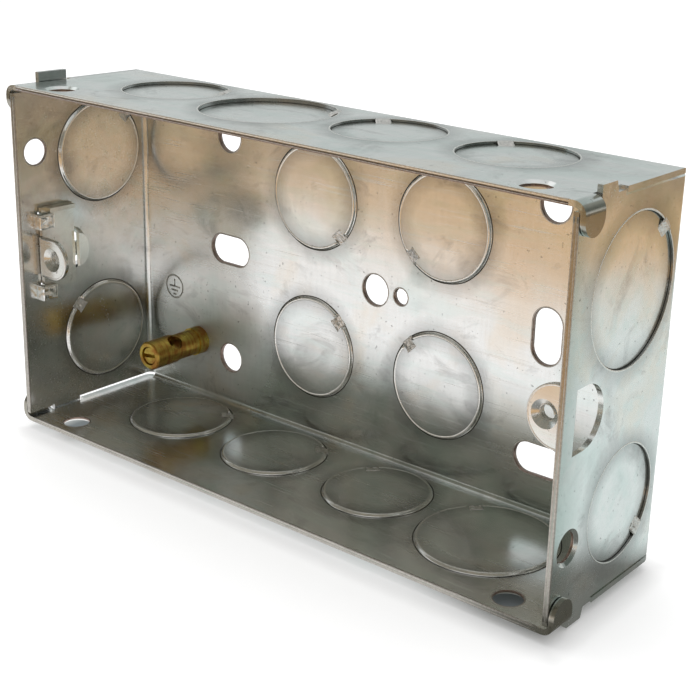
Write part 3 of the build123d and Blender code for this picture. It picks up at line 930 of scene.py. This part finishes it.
def lug_outline(centre_x, root_x, radius, onwards):
    """Stations along a lug's plate: up one side, round its end and back."""
    centre = Vector((centre_x, LUG_FRONT_Y, 0))
    root = Vector((root_x, LUG_FRONT_Y, 0))
    stations = [(root + Z_AXIS * radius, Z_AXIS, FRONT, 0.0)]
    for step in range(ROUND_STEPS + 1):
        turn = math.pi * (0.5 - step / ROUND_STEPS)
        out = Vector((onwards * math.cos(turn), 0, math.sin(turn)))
        stations.append((centre + out * radius, out, FRONT, 0.0))
    stations.append((root - Z_AXIS * radius, -Z_AXIS, FRONT, 0.0))
    return stations


class BACKBOX_OT_threads(bpy.types.Operator):
    """Cut the screw threads of both lugs"""

    bl_idname = "back_box.threads"
    bl_label = "Lug threads"

    def execute(self, context):
        look = context.scene.back_box.edge
        thread = edge_material("thread_flank", look.bright, 0.28, 0.7)
        for name, x, length, body, slot in (
            ("fixed_lug_thread", LUG_X, FIXED_THREAD, BODY_BOX, SLOT_BOX),
            ("adjustable_lug_thread", -LUG_X, ADJUSTABLE_THREAD, BODY_LUG, SLOT_LUG),
        ):
            form = Form()
            form.sweep(helix(x, LUG_FRONT_Y + THREAD_START, length), THREAD_RIDGE, False)
            form.piece(name, thread, body, slot)
        return {"FINISHED"}


def helix(x, start_y, length):
    """Stations of a thread ridge on a lug's bore; out points to the bore's axis."""
    turns = length / THREAD_PITCH
    steps = int(turns * ROUND_STEPS)
    stations = []
    for step in range(steps + 1):
        turn = 2 * math.pi * turns * step / steps
        radial = Vector((math.cos(turn), 0, math.sin(turn)))
        point = Vector((x, start_y + length * step / steps, 0)) + radial * LUG_BORE
        stations.append((point, -radial, Y_AXIS, 0.0))
    return stations


class BACKBOX_OT_sign(bpy.types.Operator):
    """Darken the grooves of the stamped earth sign"""

    bl_idname = "back_box.sign"
    bl_label = "Earth sign"

    def execute(self, context):
        shade = edge_material("stamped_line", context.scene.back_box.edge.stamp, 0.45, 0.7)
        up = INWARD["back"]
        x, z = SIGN_CENTRE
        floor = Vector((x, -SHEET + SIGN_DEPTH, z))
        form = Form()
        form.sweep(slot_outline(floor, X_AXIS, Z_AXIS, up, 0.0, SIGN_RING_RADIUS), STAMPED_RING, True)
        strokes = [(SIGN_STEM_MIDDLE, Z_AXIS, SIGN_STEM_REACH)]
        for row, width in enumerate(SIGN_BARS):
            strokes.append((-SIGN_BAR_PITCH * row, X_AXIS, width / 2 - 0.02))
        for rise, along, reach in strokes:
            middle = floor + Z_AXIS * rise
            across = X_AXIS if along == Z_AXIS else Z_AXIS
            stations = [(middle - along * reach, across, up, 0.0), (middle + along * reach, across, up, 0.0)]
            form.sweep(stations, STAMPED_STROKE, False)
        form.piece("earth_sign_shade", shade, BODY_BOX, SLOT_BOX)
        return {"FINISHED"}


class BACKBOX_OT_terminal(bpy.types.Operator):
    """Give the earth terminal its turned brass"""

    bl_idname = "back_box.terminal"
    bl_label = "Brass terminal"

    def execute(self, context):
        look = context.scene.back_box.brass
        dress("earth_terminal_pillar", brass_material("pillar_brass", look))
        dress("earth_terminal_screw", brass_material("screw_brass", look))
        return {"FINISHED"}


class BACKBOX_OT_studio(bpy.types.Operator):
    """Set the floor, mirrored cards, lamp, world and camera"""

    bl_idname = "back_box.studio"
    bl_label = "Studio"

    def execute(self, context):
        look = context.scene.back_box.studio
        build_floor(look)
        build_table_card(look)
        build_room_card(look)
        build_lamp(look)
        build_world(look)
        place_camera(look)
        context.scene.view_settings.view_transform = "Standard"
        return {"FINISHED"}


def stage_object(name, points, faces, material):
    """Add a stage mesh that is not part of the box."""
    mesh = bpy.data.meshes.new(name)
    mesh.from_pydata(points, [], faces)
    mesh.materials.append(material)
    piece = bpy.data.objects.new(name, mesh)
    bpy.context.scene.collection.objects.link(piece)
    piece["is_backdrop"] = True
    return piece


def seen_directly_or_mirrored(tree):
    """1 where the camera looks straight at it, or at its mirror image, and 0 where it only gives light."""
    path = tree.nodes.new("ShaderNodeLightPath")
    visible = maths(tree, "MAXIMUM", path.outputs["Is Camera Ray"], path.outputs["Is Glossy Ray"])
    return maths(tree, "MAXIMUM", visible, path.outputs["Is Transmission Ray"])


def outside_foot(tree, inset, end_width, side_width):
    """0 under the box and 1 outside it: it begins inset millimetres inside the foot and takes each width."""
    across, back, _ = axes_in_mm(tree)
    past_ends = step_at(tree, away_from(tree, across), HALF_LENGTH - inset, end_width)
    past_sides = step_at(tree, away_from(tree, back, -DEPTH / 2), DEPTH / 2 - inset, side_width)
    return maths(tree, "MAXIMUM", past_ends, past_sides)


def build_floor(look):
    """A large pale floor that glows but for the box's foot, where it keeps the shadow and is darkened as
    painted shade.
    """
    reach = 3.0
    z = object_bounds()[0][2]
    material, tree, shader = new_material("studio_paper")
    shader.inputs["Roughness"].default_value = 0.9
    shader.inputs["Specular IOR Level"].default_value = 0.0
    shader.inputs["Emission Color"].default_value = (1, 1, 1, 1)
    # Painted shade under the box's foot.
    tint = mix(tree, outside_foot(tree, 6.0, 3.0, 2.5), look.painted_shade_under_box, look.paper)
    tree.links.new(tint, shader.inputs["Base Color"])
    glow = maths(tree, "MULTIPLY", outside_foot(tree, 4.0, 9.0, 9.0), FLOOR_GLOW)
    glow = maths(tree, "MULTIPLY", seen_directly_or_mirrored(tree), glow)
    tree.links.new(glow, shader.inputs["Emission Strength"])
    corners = [(-reach, -reach, z), (reach, -reach, z), (reach, reach, z), (-reach, reach, z)]
    stage_object("studio_floor", corners, [(0, 1, 2, 3)], material)


def glowing_card(name, points, faces, glow_colour):
    """A card that only mirrors see; glow_colour is one colour, or a function that makes its socket."""
    material = bpy.data.materials.new(name)
    material.use_nodes = True
    tree = material.node_tree
    tree.nodes.clear()
    output = tree.nodes.new("ShaderNodeOutputMaterial")
    glow = tree.nodes.new("ShaderNodeEmission")
    if callable(glow_colour):
        tree.links.new(glow_colour(tree), glow.inputs["Color"])
    else:
        glow.inputs["Color"].default_value = (*glow_colour, 1)
    tree.links.new(glow.outputs["Emission"], output.inputs["Surface"])
    card = stage_object(name, points, faces, material)
    card.visible_camera = False
    card.visible_shadow = False
    card.visible_diffuse = False
    card.visible_transmission = False


def build_table_card(look):
    """Paper near the box, bluer behind it, and the warm table around, further out behind the box."""
    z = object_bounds()[0][2] + 0.0005
    sides = 64
    points = []
    for side in range(sides):
        angle = 2 * math.pi * side / sides
        points.append((math.cos(angle), math.sin(angle), z))

    def paper_and_wood(tree):
        flat = stretched(tree, (1, 1, 0))
        diagonal = vector_maths(tree, "DOT_PRODUCT", flat, (1, 1, 0))
        # Painted shadow: the paper near the box, which the right-hand end mirrors, is drawn dark.
        shaded = [(0.005, 1.0), (0.022, look.contact), (0.066, look.contact), (0.079, look.back_paper)]
        paper = ramp(tree, diagonal, shaded)
        length = vector_maths(tree, "LENGTH", flat)
        wood = ramp(tree, length, [(0.28, look.near_table), (0.37, look.far_table)])
        slant = vector_maths(tree, "DOT_PRODUCT", flat, (-0.24, 1, 0))
        in_front = step_at(tree, slant, -0.108, -0.008)
        behind = step_at(tree, diagonal, 0.28, 0.06)
        return mix(tree, maths(tree, "MAXIMUM", in_front, behind), paper, wood)

    glowing_card("table_card", points, [tuple(range(sides))], paper_and_wood)


def dome_patch(low_turn, high_turn, low_rise, high_rise, radius):
    """Points and faces of a piece of a dome; turns go from +X towards +Y, and rises are above the floor."""
    rows = 8
    columns = 24
    points = []
    for row in range(rows + 1):
        rise = math.radians(low_rise + (high_rise - low_rise) * row / rows)
        for column in range(columns + 1):
            turn = math.radians(low_turn + (high_turn - low_turn) * column / columns)
            flat = radius * math.cos(rise)
            points.append((flat * math.cos(turn), flat * math.sin(turn), radius * math.sin(rise)))
    faces = []
    for row in range(rows):
        for column in range(columns):
            a = row * (columns + 1) + column
            faces.append((a, a + 1, a + columns + 2, a + columns + 1))
    return points, faces


def build_room_card(look):
    """A dim, blotchy room in front, from the floor upwards, and a bright window beside it on the left."""

    def blotches(tree):
        spots = noise(tree, stretched(tree, (7, 7, 7)), 2.0, 0.5)
        return ramp(tree, spots, [(0.40, look.room), (0.62, look.room_warm)])

    glowing_card("room_card", *dome_patch(*ROOM_DOME), blotches)
    glowing_card("window_card", *dome_patch(*WINDOW_DOME), look.window)


def build_lamp(look):
    """One wide soft lamp overhead, aimed at the box and hidden from its mirrors."""
    light = bpy.data.lights.new("overhead_lamp", "AREA")
    light.shape = "RECTANGLE"
    light.size, light.size_y = LAMP_SIZE
    light.energy = look.lamp_power
    lamp = bpy.data.objects.new("overhead_lamp", light)
    lamp.location = LAMP_PLACE
    lamp.rotation_euler = Vector(LAMP_PLACE).to_track_quat("Z", "Y").to_euler()
    lamp.visible_glossy = False
    bpy.context.scene.collection.objects.link(lamp)


def build_world(look):
    """White to the camera, white low down and grey above in mirrors, soft grey as light."""
    world = bpy.data.worlds.new("studio_world")
    bpy.context.scene.world = world
    world.use_nodes = True
    tree = world.node_tree
    tree.nodes.clear()
    output = tree.nodes.new("ShaderNodeOutputWorld")
    coordinates = tree.nodes.new("ShaderNodeTexCoord")
    split = tree.nodes.new("ShaderNodeSeparateXYZ")
    tree.links.new(coordinates.outputs["Generated"], split.inputs["Vector"])
    across, rise = split.outputs["X"], split.outputs["Z"]
    mirrored = ramp(tree, rise, [(0.02, 1.0), (0.14, look.ceiling), (0.6, look.ceiling), (1.0, 0.75)])
    aside = maths(tree, "MULTIPLY", step_at(tree, across, 0.30, 0.25), step_at(tree, rise, 0.03, 0.1))
    mirrored = mix(tree, aside, mirrored, look.dim_side)
    path = tree.nodes.new("ShaderNodeLightPath")
    seen = tree.nodes.new("ShaderNodeBackground")
    tree.links.new(mix(tree, path.outputs["Is Camera Ray"], mirrored, (1, 1, 1)), seen.inputs["Color"])
    light = tree.nodes.new("ShaderNodeBackground")
    light.inputs["Color"].default_value = (1, 1, 1, 1)
    light.inputs["Strength"].default_value = SKY_STRENGTH
    choose = tree.nodes.new("ShaderNodeMixShader")
    tree.links.new(seen_directly_or_mirrored(tree), choose.inputs["Fac"])
    tree.links.new(light.outputs["Background"], choose.inputs[1])
    tree.links.new(seen.outputs["Background"], choose.inputs[2])
    tree.links.new(choose.outputs["Shader"], output.inputs["Surface"])


def place_camera(look):
    """The photograph's view: from the right front and above."""
    data = bpy.data.cameras.new("photo_camera")
    data.sensor_width = 36.0
    data.lens = look.lens
    data.shift_x, data.shift_y = CAMERA_SHIFT
    camera = bpy.data.objects.new("photo_camera", data)
    camera.location = CAMERA_PLACE
    camera.rotation_euler = [math.radians(turn) for turn in CAMERA_TURN]
    bpy.context.scene.collection.objects.link(camera)
    bpy.context.scene.camera = camera


class BACKBOX_PT_panel(bpy.types.Panel):
    """Lists the back box operators"""

    bl_idname = "BACKBOX_PT_panel"
    bl_label = "Back box"
    bl_space_type = "VIEW_3D"
    bl_region_type = "UI"
    bl_category = "Back box"

    def draw(self, context):
        for operator in OPERATORS:
            self.layout.operator(operator.bl_idname)


OPERATORS = (
    BACKBOX_OT_sheet,
    BACKBOX_OT_knockouts,
    BACKBOX_OT_edges,
    BACKBOX_OT_threads,
    BACKBOX_OT_sign,
    BACKBOX_OT_terminal,
    BACKBOX_OT_studio,
)
CLASSES = (SheetLook, EdgeLook, BrassLook, StudioLook, BackBoxLook, *OPERATORS, BACKBOX_PT_panel)


def register():
    for item in CLASSES:
        bpy.utils.register_class(item)
    bpy.types.Scene.back_box = PointerProperty(type=BackBoxLook)


def unregister():
    del bpy.types.Scene.back_box
    for item in reversed(CLASSES):
        bpy.utils.unregister_class(item)


def main():
    register()
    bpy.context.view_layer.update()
    bpy.ops.back_box.sheet()
    bpy.ops.back_box.knockouts()
    bpy.ops.back_box.edges()
    bpy.ops.back_box.threads()
    bpy.ops.back_box.sign()
    bpy.ops.back_box.terminal()
    bpy.ops.back_box.studio()


if __name__ == "__main__":
    main()
